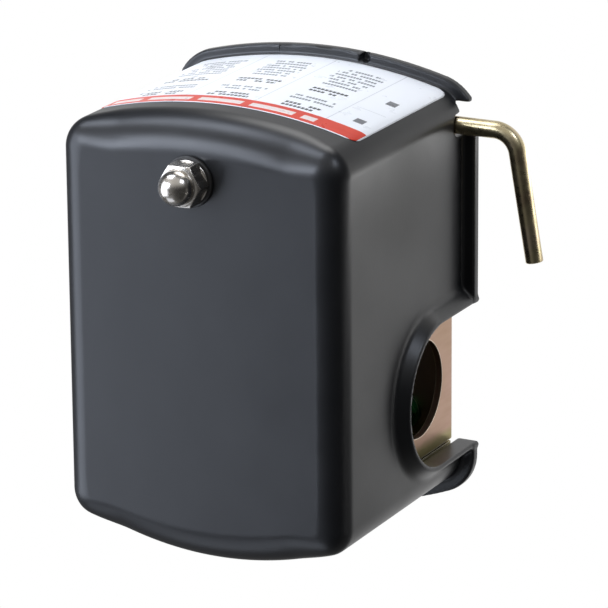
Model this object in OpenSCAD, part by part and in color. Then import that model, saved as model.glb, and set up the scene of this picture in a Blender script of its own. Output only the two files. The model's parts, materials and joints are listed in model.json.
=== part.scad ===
/* [Cover] */
// Width of the cover between its flat side walls
cover_w = 68.2; // [67.8:0.1:70]
// Distance from the pressure port to the crest of the bowed front face
front_y = 44.0; // [43.8:0.1:46]
// Distance from the pressure port to the crest of the bowed rear face
rear_y = 56.5; // [56:0.1:58]
// Height of the cover from its open edge to its top
cover_h = 61.8; // [60:0.1:63]
// Wall thickness of the cover
cover_wall = 2.0; // [1.6:0.1:2.2]
// Radius of the rounded edge around the top of the cover
top_round = 5.8; // [4:0.1:6.5]
// Radius of the four upright corners of the cover
corner_round = 7.0; // [6.8:0.1:8]
// How far the rim stands out from the cover wall
rim_out = 3.05; // [2:0.05:4]
// Thickness of the rim
rim_t = 2.5; // [1.5:0.1:3.5]

/* [Frame] */
// Thickness of the frame sheet
sheet_t = 1.6; // [1.2:0.1:1.8]
// Width of the frame over its end walls
frame_w = 62.2; // [61:0.1:62.4]
// Radius of each conduit hole
conduit_r = 11.1; // [10:0.1:12]
// Height of the conduit hole centres above the port mouth
conduit_z = 35.1; // [34.5:0.1:36]
// Distance of the conduit hole centres behind the port
conduit_y = 24.7; // [24:0.1:25.5]

/* [Pressure port] */
// Wall radius of the port thread
port_r = 5.7; // [5:0.05:6]
// Depth of the port thread
port_depth = 14.0; // [10:0.5:14.5]
// Radius of the pressure flange
flange_r = 25.0; // [24.5:0.1:25.5]

/* [Springs] */
// Wire diameter of the range spring
range_wire = 2.4; // [1.8:0.1:2.8]
// Outside radius of the range spring
range_or = 9.8; // [9:0.1:9.8]
// Wire diameter of the differential spring
diff_wire = 1.0; // [0.8:0.1:1.1]

/* [Lever] */
// Diameter of the cut-off lever rod
rod_d = 3.9; // [3.5:0.1:3.9]
// Length of the lever arm beyond its outer bend corner
arm_len = 29.3; // [25:0.1:33]
// Angle by which the lever arm splays away from the cover
arm_splay = 10; // [8:1:16]

/* [Hidden] */

top_z = 79.5;
edge_z = top_z - cover_h;
base_z = 17.5;
plate_top_z = base_z + sheet_t;
gap = 0.05;

front_bow = 111.3;
rear_bow = 78.0;
core_x = cover_w / 2 - corner_round;
band_lap = 4;

wall_x = frame_w / 2;
wall_in_x = wall_x - sheet_t;
wall_y0 = 6.0;
wall_y1 = 41.0;
wall_z1 = 60.0;
rear_wall_y = 41.4;
frame_front_y = -37.5;
bend_r = 2.0;

range_pos = [1.34, -30.3];
diff_pos = [0, -14.8];
range_stud_r = 2.4;
diff_stud_r = 2.05;
range_spring_z1 = 60.0;
diff_spring_z1 = 47.0;

screw_circle_r = 21.5;
plunger_hole_r = 11.0;

pivot_y = 12.0;
pivot_z = 26.5;
web_z = 28.5;
web_top_z = 30.1;
pin_r = 1.5;

block_y0 = wall_y0 + sheet_t;
block_y1 = 18.0;
block_z0 = 47.0;
block_z1 = 62.0;
terminal_x = [-18.75, -6.25, 6.25, 18.75];
terminal_z = 54.5;
contact_z = 35.0;
carrier_y = 11.0;
carrier_z = 43.5;

rod_r = rod_d / 2;
shank_r = rod_r - 0.02;
bend_lap = 0.3;
rod_y = -32.75;
rod_z = 21.9;
rod_corner_x = -47.4;
rod_bend_r = 5.5;
crank_x = -13.0;
crank_len = 13.2;
crank_bend_r = 3.5;
crank_angle = 50;

// ---------- shared shapes ----------

// Two-dimensional rectangle with four rounded corners
module round_rect(x0, x1, y0, y1, r) {
  translate([x0 + r, y0]) square([x1 - x0 - 2 * r, y1 - y0]);
  translate([x0, y0 + r]) square([x1 - x0, y1 - y0 - 2 * r]);
  for (x = [x0 + r, x1 - r], y = [y0 + r, y1 - r])
    translate([x, y]) circle(r = r, $fn = 48);
}

// Bar along X with its axis at a given Y and Z
module rod_x(x0, x1, y, z, r) {
  translate([x0, y, z]) rotate([0, 90, 0]) cylinder(r = r, h = x1 - x0, $fn = 48);
}

// Bar along Y with its axis at a given X and Z
module rod_y(y0, y1, x, z, r) {
  translate([x, y0, z]) rotate([-90, 0, 0]) cylinder(r = r, h = y1 - y0, $fn = 48);
}

// Plain block between two corners
module block(a, b) {
  translate(a) cube(b - a);
}

// Chamfered hexagonal nut with a plain bore, standing on z = 0
module hex_nut(af, h, bore_r) {
  across_corners_r = af / 2 / cos(30);
  difference() {
    intersection() {
      cylinder(r = across_corners_r, h = h, $fn = 6);
      cylinder(r1 = af / 2 + 0.2, r2 = af / 2 + 0.2 + 2 * h, h = h, $fn = 64);
      cylinder(r1 = af / 2 + 0.2 + 2 * h, r2 = af / 2 + 0.2, h = h, $fn = 64);
    }
    translate([0, 0, -1]) cylinder(r = bore_r, h = h + 2, $fn = 48);
  }
}

// Coiled wire about +Z from z0 to z1; the wire ends lie inside that height
module coil(z0, z1, mean_r, wire_r, turns, steps = 18, sides = 8) {
  count = turns * steps;
  rise = z1 - z0 - 2 * wire_r;
  points = [
    for (i = [0:count], k = [0:sides - 1])
      let (
        turn = 360 * i / steps,
        side = 360 * k / sides,
        radius = mean_r + wire_r * cos(side)
      )
      [radius * cos(turn), radius * sin(turn), z0 + wire_r + rise * i / count + wire_r * sin(side)]
  ];
  skin = [
    for (i = [0:count - 1], k = [0:sides - 1])
      [
        i * sides + k,
        i * sides + (k + 1) % sides,
        (i + 1) * sides + (k + 1) % sides,
        (i + 1) * sides + k
      ]
  ];
  start_face = [[for (k = [sides - 1:-1:0]) k]];
  end_face = [[for (k = [0:sides - 1]) count * sides + k]];
  polyhedron(points = points, faces = concat(skin, start_face, end_face), convexity = 4);
}

// ---------- cover outline ----------

// Upright section of the outline's outer band, rounded at its top outer edge
module band_profile(depth, z0, z1, r) {
  translate([0, z0]) square([depth, z1 - r - z0]);
  if (r > 0) {
    translate([0, z1 - r]) square([depth - r, r]);
    intersection() {
      translate([depth - r, z1 - r]) circle(r = r, $fn = 96);
      translate([depth - r, z1 - r]) square([r, r]);
    }
  }
}

// Half length of the outline's straight sides towards an end with the given crest and bow
function side_end(crest, bow) = crest - bow + sqrt(pow(bow - corner_round, 2) - pow(core_x, 2));

// Two upright corners and the bowed band between them, at the +Y end of the outline
module plan_end(crest, bow, depth, z0, z1, r) {
  bow_angle = asin(core_x / (bow - corner_round));
  for (side = [0, 1]) mirror([side, 0, 0])
    translate([core_x, side_end(crest, bow), 0])
      rotate_extrude(angle = 90 - bow_angle, $fn = 180) band_profile(depth, z0, z1, r);
  translate([0, crest - bow, 0]) rotate([0, 0, 90 - bow_angle])
    rotate_extrude(angle = 2 * bow_angle, $fn = 360)
      translate([bow - corner_round - band_lap, 0]) band_profile(depth + band_lap, z0, z1, r);
}

// Solid on the cover's plan outline, moved outwards by grow, from z0 to z1
module plan_solid(grow, z0, z1, r) {
  depth = corner_round + grow;
  front_end = side_end(front_y, front_bow);
  rear_end = side_end(rear_y, rear_bow);
  translate([0, 0, z0]) linear_extrude(z1 - z0) intersection() {
    translate([-core_x, -front_end - 20]) square([2 * core_x, front_end + rear_end + 40]);
    translate([0, front_bow - front_y]) circle(r = front_bow - corner_round, $fn = 180);
    translate([0, rear_y - rear_bow]) circle(r = rear_bow - corner_round, $fn = 180);
  }
  for (side = [0, 1]) mirror([side, 0, 0])
    translate([core_x - band_lap, rear_end, 0]) rotate([90, 0, 0])
      linear_extrude(rear_end + front_end) band_profile(depth + band_lap, z0, z1, r);
  plan_end(rear_y, rear_bow, depth, z0, z1, r);
  mirror([0, 1, 0]) plan_end(front_y, front_bow, depth, z0, z1, r);
}

// U-shaped prism over a conduit hole, open downwards, between two X planes
module notch_prism(x0, x1, r, z0) {
  rod_x(x0, x1, conduit_y, conduit_z, r);
  block([x0, conduit_y - r, z0], [x1, conduit_y + r, conduit_z]);
}

// Removable cover: bowed shell with a rim, lipped conduit notches and a lever slot
module cover() {
  notch_r = 16.4;
  lip_t = 1.8;
  lip_x = cover_w / 2 + rim_out;
  slot_r = rod_r + 0.45;
  color("dimgray") difference() {
    union() {
      plan_solid(0, edge_z, top_z, top_round);
      plan_solid(rim_out, edge_z, edge_z + rim_t, 0);
      for (side = [0, 1]) mirror([side, 0, 0])
        notch_prism(cover_w / 2 - cover_wall + 0.5, lip_x, notch_r + lip_t, edge_z);
    }
    plan_solid(-cover_wall, edge_z - 1, top_z - cover_wall, top_round - cover_wall);
    for (side = [0, 1]) mirror([side, 0, 0])
      notch_prism(cover_w / 2 - cover_wall - 1, lip_x + 2, notch_r, edge_z - 2);
    rod_x(-cover_w, -cover_w / 2 + 6, rod_y, rod_z, slot_r);
    block([-cover_w, rod_y - slot_r, edge_z - 2], [-cover_w / 2 + 6, rod_y + slot_r, rod_z]);
    block([-cover_w, -37.6, edge_z - 2], [-cover_w / 2 + 6, -30.8, edge_z + 2.9]);
    translate([range_pos[0], range_pos[1], top_z - 10]) cylinder(r = 2.9, h = 20, $fn = 48);
  }
}

// Thin sticker wrapped on the bowed front face
module cover_label() {
  label_t = 0.15;
  label_half_w = 28.6;
  label_z0 = 21.5;
  label_z1 = 66.5;
  half_a = asin(label_half_w / front_bow);
  color("white") translate([0, front_bow - front_y, label_z0]) rotate([0, 0, 270 - half_a])
    rotate_extrude(angle = 2 * half_a, $fn = 360)
      translate([front_bow + 0.01, 0]) square([label_t, label_z1 - label_z0]);
}

// Thin washer under the cap nut
module cap_nut_washer() {
  color([0.1, 0.1, 0.1]) translate([range_pos[0], range_pos[1], top_z + 0.01]) difference() {
    cylinder(r = 5.65, h = 0.78, $fn = 64);
    translate([0, 0, -1]) cylinder(r = 2.6, h = 3, $fn = 48);
  }
}

// Domed hexagonal cap nut with a blind bore
module cap_nut() {
  af = 9.0;
  hex_h = 4.3;
  dome_r = 3.85;
  dome_z = 5.1;
  color("silver") translate([range_pos[0], range_pos[1], top_z + 0.8]) difference() {
    union() {
      intersection() {
        cylinder(r = af / 2 / cos(30), h = hex_h, $fn = 6);
        cylinder(r1 = af / 2 + 0.2 + 2 * hex_h, r2 = af / 2 + 0.2, h = hex_h, $fn = 64);
      }
      cylinder(r = dome_r, h = dome_z, $fn = 64);
      translate([0, 0, dome_z]) sphere(r = dome_r, $fn = 64);
    }
    translate([0, 0, -1]) cylinder(r = range_stud_r + gap, h = 7.0, $fn = 48);
  }
}

// ---------- frame ----------

// One end wall's section in the X-Z plane, with its rounded lower bend
module wall_section() {
  translate([wall_in_x, base_z + bend_r]) square([sheet_t, wall_z1 - base_z - bend_r]);
  translate([wall_x - bend_r, base_z + bend_r]) intersection() {
    difference() {
      circle(r = bend_r, $fn = 64);
      circle(r = bend_r - sheet_t, $fn = 64);
    }
    translate([0, -bend_r]) square([bend_r, bend_r]);
  }
}

// Flat bottom of the frame, narrower where the end walls bend up
module base_outline() {
  round_rect(-wall_x, wall_x, frame_front_y, wall_y0 - 0.4, 5);
  translate([-wall_x + bend_r, -20]) square([frame_w - 2 * bend_r, rear_wall_y + sheet_t + 20]);
}

// Holes through the flat bottom of the frame
module base_holes() {
  circle(r = plunger_hole_r, $fn = 96);
  for (a = [45:90:315]) rotate(a) translate([screw_circle_r, 0]) circle(r = 2.45, $fn = 48);
  translate(range_pos) circle(r = range_stud_r + gap, $fn = 48);
  translate(diff_pos) circle(r = diff_stud_r + gap, $fn = 48);
  for (x = [-19, 19]) translate([x, 36]) circle(r = 2.05, $fn = 48);
}

// Upright ear with a round top and a pin hole, standing on the frame bottom
module pin_ear(x0, y, z, half_w, hole_r) {
  difference() {
    union() {
      rod_x(x0, x0 + sheet_t, y, z, half_w);
      block([x0, y - half_w, base_z + 0.2], [x0 + sheet_t, y + half_w, z]);
    }
    rod_x(x0 - 1, x0 + sheet_t + 1, y, z, hole_r);
  }
}

// Pressed steel frame: base, two end walls, rear wall, ears and block tabs
module frame() {
  color("darkkhaki") difference() {
    union() {
      translate([0, 0, base_z]) linear_extrude(sheet_t) difference() {
        base_outline();
        base_holes();
      }
      for (side = [0, 1]) mirror([side, 0, 0]) {
        translate([0, wall_y1, 0]) rotate([90, 0, 0])
          linear_extrude(wall_y1 - wall_y0) wall_section();
        block([18, wall_y0, block_z0], [wall_x - 0.1, block_y0 - gap, wall_z1]);
        pin_ear(18, pivot_y, pivot_z, 3.6, pin_r + gap);
      }
      block([-wall_x + bend_r, rear_wall_y, base_z + 0.2],
        [wall_x - bend_r, rear_wall_y + sheet_t, base_z + 4]);
      block([-wall_x, rear_wall_y, base_z + bend_r], [wall_x, rear_wall_y + sheet_t, 38]);
      for (x = [-27.5, -18]) pin_ear(x, rod_y, rod_z, 4.0, rod_r + gap);
    }
    rod_x(-wall_x - 1, wall_x + 1, conduit_y, conduit_z, conduit_r);
    for (x = [-23.5, 23.5]) rod_y(0, 12, x, terminal_z, 1.8);
  }
}

// ---------- pressure side ----------

// Flanged pressure connection with a hexagonal boss and a threaded port
module pressure_flange() {
  flange_z = 12.5;
  seal_z = base_z - 0.8;
  color("lightgray") difference() {
    union() {
      cylinder(r = 12.7, h = flange_z + 1, $fn = 6);
      translate([0, 0, flange_z]) cylinder(r = flange_r, h = seal_z - flange_z, $fn = 120);
    }
    translate([0, 0, -1]) cylinder(r = port_r, h = port_depth + 1, $fn = 64);
    cylinder(r = 2.0, h = seal_z + 1, $fn = 48);
    translate([0, 0, seal_z - 1.6]) cylinder(r = 10.5, h = 3, $fn = 96);
    for (a = [45:90:315]) rotate([0, 0, a]) translate([screw_circle_r, 0, 5])
      cylinder(r = 2.6, h = 20, $fn = 48);
  }
}

// Rubber sheet clamped between the flange and the frame
module diaphragm() {
  color([0.15, 0.15, 0.16]) translate([0, 0, base_z - 0.8]) linear_extrude(0.8) difference() {
    circle(r = flange_r - 0.5, $fn = 120);
    for (a = [45:90:315]) rotate(a) translate([screw_circle_r, 0]) circle(r = 2.6, $fn = 48);
  }
}

// Four pan-head screws that hold the flange to the frame
module flange_screws() {
  head_h = 2.6;
  color("gainsboro") for (a = [45:90:315]) rotate([0, 0, a])
    translate([screw_circle_r, 0, 12.5]) difference() {
      union() {
        cylinder(r = 2.4, h = 8.4, $fn = 48);
        translate([0, 0, -head_h]) cylinder(r1 = 3.0, r2 = 4.0, h = head_h, $fn = 64);
      }
      translate([-5, -0.5, -head_h - 0.1]) cube([10, 1, 1.3]);
    }
}

// Piston that carries the diaphragm's force up to the actuator plate
module plunger() {
  crown_r = 4.0;
  color("ivory") {
    translate([0, 0, base_z]) cylinder(r = 10.2, h = 2.9, $fn = 96);
    translate([0, 0, base_z + 2.8]) cylinder(r = crown_r, h = web_z - base_z - 2.8 - crown_r, $fn = 64);
    translate([0, 0, web_z - crown_r - 0.02]) sphere(r = crown_r, $fn = 64);
  }
}

// ---------- studs, springs and nuts ----------

// Stud with a riveted foot and a shoulder on the frame
module stud(pos, r, shoulder_r, foot_r, foot_h, top) {
  translate([pos[0], pos[1], 0]) {
    translate([0, 0, base_z - foot_h]) cylinder(r = r, h = top - base_z + foot_h - 0.6, $fn = 48);
    translate([0, 0, top - 0.6]) cylinder(r1 = r, r2 = r - 0.6, h = 0.6, $fn = 48);
    translate([0, 0, plate_top_z]) cylinder(r = shoulder_r, h = 2.6, $fn = 48);
    if (foot_h > 0)
      translate([0, 0, base_z - foot_h]) cylinder(r = foot_r, h = foot_h, $fn = 48);
  }
}

// Long stud for the range spring; the cap nut screws on its end
module range_stud() {
  color("silver") stud(range_pos, range_stud_r, 3.8, 3.5, 1.2, 85.6);
}

// Short stud for the differential spring
module differential_stud() {
  color("silver") stud(diff_pos, diff_stud_r, 2.9, 2.0, 0, 56.0);
}

// Main spring that sets the cut-in pressure
module range_spring() {
  color("goldenrod") translate([range_pos[0], range_pos[1], 0])
    coil(web_top_z, range_spring_z1, range_or - range_wire / 2, range_wire / 2, 7);
}

// Small spring that sets the gap between cut-in and cut-out
module differential_spring() {
  color("silver") translate([diff_pos[0], diff_pos[1], 0])
    coil(web_top_z, diff_spring_z1, 4.3 - diff_wire / 2, diff_wire / 2, 9, 16, 6);
}

// Disc that seats a spring under its nut
module spring_seat(pos, z, r, hub_r, bore_r, h) {
  translate([pos[0], pos[1], z]) difference() {
    union() {
      cylinder(r = r, h = h, $fn = 96);
      translate([0, 0, -2.5]) cylinder(r = hub_r, h = 3, $fn = 64);
    }
    translate([0, 0, -4]) cylinder(r = bore_r, h = h + 6, $fn = 48);
  }
}

// Seat on top of the range spring
module range_seat() {
  color("silver")
    spring_seat(range_pos, range_spring_z1, 10.3, range_or - range_wire - 0.4, 2.7, 1.8);
}

// Seat on top of the differential spring
module differential_seat() {
  color("silver") spring_seat(diff_pos, diff_spring_z1, 4.8, 2.9, 2.3, 1.2);
}

// Nut that sets the range spring
module range_nut() {
  color("gold") translate([range_pos[0], range_pos[1], range_spring_z1 + 1.82])
    hex_nut(9.5, 4.2, range_stud_r + gap);
}

// Nut that sets the differential spring
module differential_nut() {
  color("gold") translate([diff_pos[0], diff_pos[1], diff_spring_z1 + 1.22])
    hex_nut(7.9, 3.2, diff_stud_r + gap);
}

// ---------- actuator ----------

// Web of the actuator plate seen from above
module web_outline() {
  difference() {
    union() {
      translate([range_pos[0], range_pos[1] + 0.7]) circle(r = 11.4, $fn = 96);
      translate([-11, -29.5]) square([22, 35.5]);
      translate([-10.26, -33]) square([8, 9]);
    }
    translate(range_pos) circle(r = 4.2, $fn = 64);
    translate(diff_pos) circle(r = 3.0, $fn = 64);
  }
}

// Pivoted plate pushed up by the diaphragm and down by the springs
module actuator_plate() {
  color("lightsteelblue") {
    translate([0, 0, web_z]) linear_extrude(web_top_z - web_z) web_outline();
    for (side = [0, 1]) mirror([side, 0, 0]) difference() {
      union() {
        block([9.6, -18, 24.5], [11, pivot_y, web_top_z]);
        rod_x(9.6, 11, pivot_y, pivot_z, 2.6);
      }
      rod_x(9, 12, pivot_y, pivot_z, pin_r + gap);
    }
    block([-10.26, -32.5, web_top_z - 0.5], [-8.86, -24.5, 37.2]);
    block([-15.5, -32.5, 35.8], [-8.86, -24.5, 37.2]);
  }
}

// Headed pin through the frame ears and the actuator plate
module plate_pin() {
  color("silver") {
    rod_x(-20.4, 20.4, pivot_y, pivot_z, pin_r);
    for (side = [0, 1]) mirror([side, 0, 0]) rod_x(19.65, 20.6, pivot_y, pivot_z, 2.3);
  }
}

// ---------- contacts ----------

// Moulded block that carries the terminals, with barriers between them
module contact_block() {
  color([0.12, 0.11, 0.11]) difference() {
    union() {
      block([-27, block_y0, block_z0], [27, block_y1, block_z1]);
      for (x = [-25.75, -12.5, 0, 12.5, 25.75])
        block([x - 0.75, block_y1 - 1, block_z0], [x + 0.75, 25, block_z1]);
      for (side = [0, 1]) mirror([side, 0, 0]) {
        rod_x(21.6, 24.6, carrier_y, carrier_z, 3.0);
        block([21.6, carrier_y - 3, carrier_z], [24.6, carrier_y + 3, block_z0 + 1]);
      }
    }
    rod_x(-30, 30, carrier_y, carrier_z, pin_r + gap);
    for (x = [-23.5, 23.5]) rod_y(0, 15, x, terminal_z, 1.75);
    for (x = terminal_x) rod_y(9, 30, x, terminal_z, 1.8);
  }
}

// Two screws that hold the block to the frame tabs
module block_screws() {
  color("gainsboro") for (x = [-23.5, 23.5]) difference() {
    union() {
      rod_y(wall_y0, 14.5, x, terminal_z, 1.7);
      rod_y(wall_y0 - 2.2, wall_y0, x, terminal_z, 3.2);
    }
    block([x - 4, wall_y0 - 2.3, terminal_z - 0.4], [x + 4, wall_y0 - 1.2, terminal_z + 0.4]);
  }
}

// Four terminal strips, each with a fixed contact at its lower end
module terminal_plates() {
  color("peru") for (x = terminal_x) difference() {
    union() {
      block([x - 4.6, block_y1 + 0.01, contact_z - 3.5], [x + 4.6, block_y1 + 1.2, terminal_z + 5]);
      rod_y(block_y1 - 1.2, block_y1 + 0.5, x, contact_z, 2.2);
    }
    rod_y(block_y1 - 2, block_y1 + 3, x, terminal_z, 1.8);
  }
}

// Four saddle clamps under the terminal screw heads
module terminal_clamps() {
  color("silver") for (x = terminal_x) difference() {
    union() {
      block([x - 4.2, block_y1 + 1.22, terminal_z - 4], [x + 4.2, block_y1 + 2.4, terminal_z + 4]);
      for (z = [terminal_z - 4, terminal_z + 3])
        block([x - 4.2, block_y1 + 1.22, z], [x + 4.2, block_y1 + 3.2, z + 1]);
    }
    rod_y(block_y1, block_y1 + 5, x, terminal_z, 1.8);
  }
}

// Four slotted terminal screws
module terminal_screws() {
  head_y = block_y1 + 2.42;
  color("gainsboro") for (x = terminal_x) difference() {
    union() {
      rod_y(10, head_y, x, terminal_z, 1.7);
      rod_y(head_y, head_y + 2.4, x, terminal_z, 2.9);
    }
    block([x - 4, head_y + 1.3, terminal_z - 0.45], [x + 4, head_y + 3, terminal_z + 0.45]);
  }
}

// Two green earth screws in the frame bottom
module ground_screws() {
  color("green") for (x = [-19, 19]) translate([x, 36, plate_top_z + 0.01]) difference() {
    union() {
      translate([0, 0, -3.6]) cylinder(r = 2.0, h = 4, $fn = 48);
      cylinder(r = 4.4, h = 0.8, $fn = 64);
      cylinder(r = 3.6, h = 3.0, $fn = 6);
    }
    translate([-5, -0.5, 2.0]) cube([10, 1, 2]);
  }
}

// Pin through the block lugs that carries the contact carrier
module carrier_pin() {
  color("silver") rod_x(-24.8, 24.8, carrier_y, carrier_z, pin_r);
}

// Pivoted moulding that swings the moving contacts
module contact_carrier() {
  color([0.45, 0.2, 0.12]) difference() {
    union() {
      rod_x(-20.8, 20.8, carrier_y, carrier_z, 2.8);
      block([-20, 9.6, 33], [20, 12.4, carrier_z]);
      block([-4, -8, 38], [4, 10, 40.5]);
      block([-4, -3, 36.2], [-2.8, 10, 39]);
      block([2.8, -3, 36.2], [4, 10, 39]);
    }
    rod_x(-22, 22, carrier_y, carrier_z, pin_r + gap);
  }
}

// Two bridging contact bars, each with two contact buttons
module moving_contacts() {
  color("peru") for (side = [0, 1]) mirror([side, 0, 0]) {
    block([2.2, 14.4, contact_z - 2.4], [22.4, 15.6, contact_z + 2.4]);
    for (x = [6.25, 18.75]) rod_y(15.5, 16.78, x, contact_z, 2.0);
  }
}

// Two small springs that press the bars against the fixed contacts
module contact_springs() {
  color("silver") for (x = [-12.5, 12.5])
    translate([x, 12.41, contact_z]) rotate([-90, 0, 0]) coil(0, 1.98, 1.5, 0.22, 3, 12, 6);
}

// Spring between the actuator plate and the carrier arm
module toggle_spring() {
  color("silver") translate([0, -5, 0]) coil(web_top_z + 0.01, 37.99, 2.3, 0.4, 6, 14, 6);
}

// ---------- lever ----------

// Quarter or part bend of the rod in the X-Y plane, about the origin
module rod_bend(radius, start, turn) {
  rotate([0, 0, start]) rotate_extrude(angle = turn, $fn = 96)
    translate([radius, 0]) circle(r = rod_r, $fn = 48);
}

// Straight length of rod along +Z with a chamfered end, starting inside a bend
module rod_end(z0, z1) {
  chamfer = 0.5;
  rotate_extrude($fn = 48) polygon([
    [0, z0 - bend_lap], [shank_r, z0 - bend_lap], [shank_r, z1 - chamfer],
    [shank_r - chamfer, z1], [0, z1]
  ]);
}

// Bent rod: inner crank, straight shank along X, outer bend and arm
module cutoff_lever() {
  turn = 90 - arm_splay;
  tangent = rod_bend_r * tan(turn / 2);
  bend_x = rod_corner_x + tangent;
  color("darkkhaki") {
    rod_x(bend_x - bend_lap, crank_x - crank_bend_r + bend_lap, rod_y, rod_z, shank_r);
    translate([crank_x, rod_y, rod_z]) rotate([crank_angle - 90, 0, 0]) {
      translate([-crank_bend_r, 0, crank_bend_r]) rotate([90, 0, 0]) rod_bend(crank_bend_r, 270, 90);
      rod_end(crank_bend_r, crank_len);
    }
    translate([bend_x, rod_y + rod_bend_r, rod_z]) rod_bend(rod_bend_r, 270 - turn, turn);
    translate([rod_corner_x, rod_y, rod_z]) rotate([0, 0, arm_splay]) rotate([-90, 0, 0])
      rod_end(tangent, arm_len);
  }
}

// Two retaining rings pressed on the lever shank, one each side of the outer ear
module lever_rings() {
  color("silver") for (x = [-28.5, -25.8]) difference() {
    rod_x(x, x + 0.9, rod_y, rod_z, 2.75);
    rod_x(x - 1, x + 2, rod_y, rod_z, shank_r);
  }
}

frame();
pressure_flange();
diaphragm();
flange_screws();
range_stud();
differential_stud();
plate_pin();
actuator_plate();
plunger();
range_spring();
range_seat();
range_nut();
differential_spring();
differential_seat();
differential_nut();
contact_block();
block_screws();
terminal_plates();
terminal_clamps();
terminal_screws();
ground_screws();
carrier_pin();
contact_carrier();
moving_contacts();
contact_springs();
toggle_spring();
cutoff_lever();
lever_rings();
cover();
cover_label();
cap_nut_washer();
cap_nut();
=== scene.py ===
"""Looks of the pressure switch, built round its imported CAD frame, in millimetres until a mesh is made."""
import json
import math

import bpy
import numpy as np
from mathutils import Euler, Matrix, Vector


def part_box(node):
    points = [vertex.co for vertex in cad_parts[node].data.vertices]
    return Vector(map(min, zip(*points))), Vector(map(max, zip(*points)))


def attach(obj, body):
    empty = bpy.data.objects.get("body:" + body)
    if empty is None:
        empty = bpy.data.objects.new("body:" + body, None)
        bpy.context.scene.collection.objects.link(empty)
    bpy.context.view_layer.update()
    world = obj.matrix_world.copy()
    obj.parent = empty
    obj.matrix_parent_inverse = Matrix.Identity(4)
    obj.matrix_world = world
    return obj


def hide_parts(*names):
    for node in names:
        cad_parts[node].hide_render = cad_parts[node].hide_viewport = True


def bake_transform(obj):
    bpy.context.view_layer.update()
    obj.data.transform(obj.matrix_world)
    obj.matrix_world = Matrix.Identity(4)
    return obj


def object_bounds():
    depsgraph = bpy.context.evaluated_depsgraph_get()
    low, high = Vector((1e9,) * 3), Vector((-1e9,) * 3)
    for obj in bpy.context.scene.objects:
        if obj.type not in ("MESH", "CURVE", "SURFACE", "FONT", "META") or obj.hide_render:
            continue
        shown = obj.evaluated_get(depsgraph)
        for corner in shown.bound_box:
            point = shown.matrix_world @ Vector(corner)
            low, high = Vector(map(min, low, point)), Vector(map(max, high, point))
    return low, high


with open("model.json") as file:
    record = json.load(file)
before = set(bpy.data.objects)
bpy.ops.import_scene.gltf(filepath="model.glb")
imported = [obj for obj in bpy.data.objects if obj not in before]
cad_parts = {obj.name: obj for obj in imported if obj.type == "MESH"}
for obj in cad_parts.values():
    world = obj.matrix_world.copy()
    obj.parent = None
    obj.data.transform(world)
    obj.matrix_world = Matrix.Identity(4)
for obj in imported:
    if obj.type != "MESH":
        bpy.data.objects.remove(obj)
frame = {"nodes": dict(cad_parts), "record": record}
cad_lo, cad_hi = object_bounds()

MM = 0.001
NODES = frame["nodes"]


def box_mm(node):
    """Lowest and highest corner of a CAD node in millimetres."""
    lo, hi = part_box(node)
    return np.array(lo) / MM, np.array(hi) / MM


# ---------- smooth solids from distance functions ----------


def blend_min(a, b, k):
    """Union of two distances with a fillet of about k."""
    h = np.maximum(k - np.abs(a - b), 0) / k
    return np.minimum(a, b) - h * h * k / 4


def blend_max(a, b, k):
    """Intersection of two distances with an edge rounded by about k."""
    return -blend_min(-a, -b, k)


def smooth(t):
    """Eases 0 to 1."""
    t = np.clip(t, 0, 1)
    return t * t * (3 - 2 * t)


def gradient(field, p, h=0.02):
    """Gradient of a distance field at points p."""
    g = np.empty_like(p)
    for axis in range(3):
        step = np.zeros(3)
        step[axis] = h
        g[:, axis] = (field(*(p + step).T) - field(*(p - step).T)) / (2 * h)
    return g


def pull_to_surface(field, p, reach, rounds=4):
    """Moves points onto the field's zero surface, at most reach in each round."""
    for _ in range(rounds):
        g = gradient(field, p)
        move = field(*p.T)[:, None] * g / np.maximum((g * g).sum(1), 0.05)[:, None]
        length = np.linalg.norm(move, axis=1)[:, None]
        p = p - move * np.minimum(1, reach / np.maximum(length, 1e-9))
    return p


CORNERS = np.array([(i, j, k) for i in (0, 1) for j in (0, 1) for k in (0, 1)])
EDGES = [
    (a, b)
    for a in range(8)
    for b in range(a + 1, 8)
    if np.abs(CORNERS[a] - CORNERS[b]).sum() == 1
]


def surface_net(field, lo, hi, step):
    """Quads round a field's zero surface, with one point in each grid cell that it passes through."""
    lo, hi = np.array(lo, float), np.array(hi, float)
    size = np.ceil((hi - lo) / step).astype(int) + 1
    axes = [lo[i] + step * np.arange(size[i]) for i in range(3)]
    values = np.empty(size, np.float32)
    for i, x in enumerate(axes[0]):
        y, z = np.meshgrid(axes[1], axes[2], indexing="ij")
        values[i] = field(np.full_like(y, x), y, z)
    inside = values < 0
    count = sum(
        inside[i : size[0] - 1 + i, j : size[1] - 1 + j, k : size[2] - 1 + k].astype(np.int8)
        for i, j, k in CORNERS
    )
    cells = np.argwhere((count > 0) & (count < 8))
    index = np.full(size - 1, -1)
    index[tuple(cells.T)] = np.arange(len(cells))
    corner = [values[tuple((cells + c).T)] for c in CORNERS]
    total, hits = np.zeros((len(cells), 3)), np.zeros(len(cells))
    for a, b in EDGES:
        cross = (corner[a] < 0) != (corner[b] < 0)
        t = np.where(cross, corner[a] / np.where(cross, corner[a] - corner[b], 1), 0)
        total += cross[:, None] * (CORNERS[a] + t[:, None] * (CORNERS[b] - CORNERS[a]))
        hits += cross
    points = lo + step * (cells + total / hits[:, None])
    return points, net_quads(inside, index)


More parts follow.
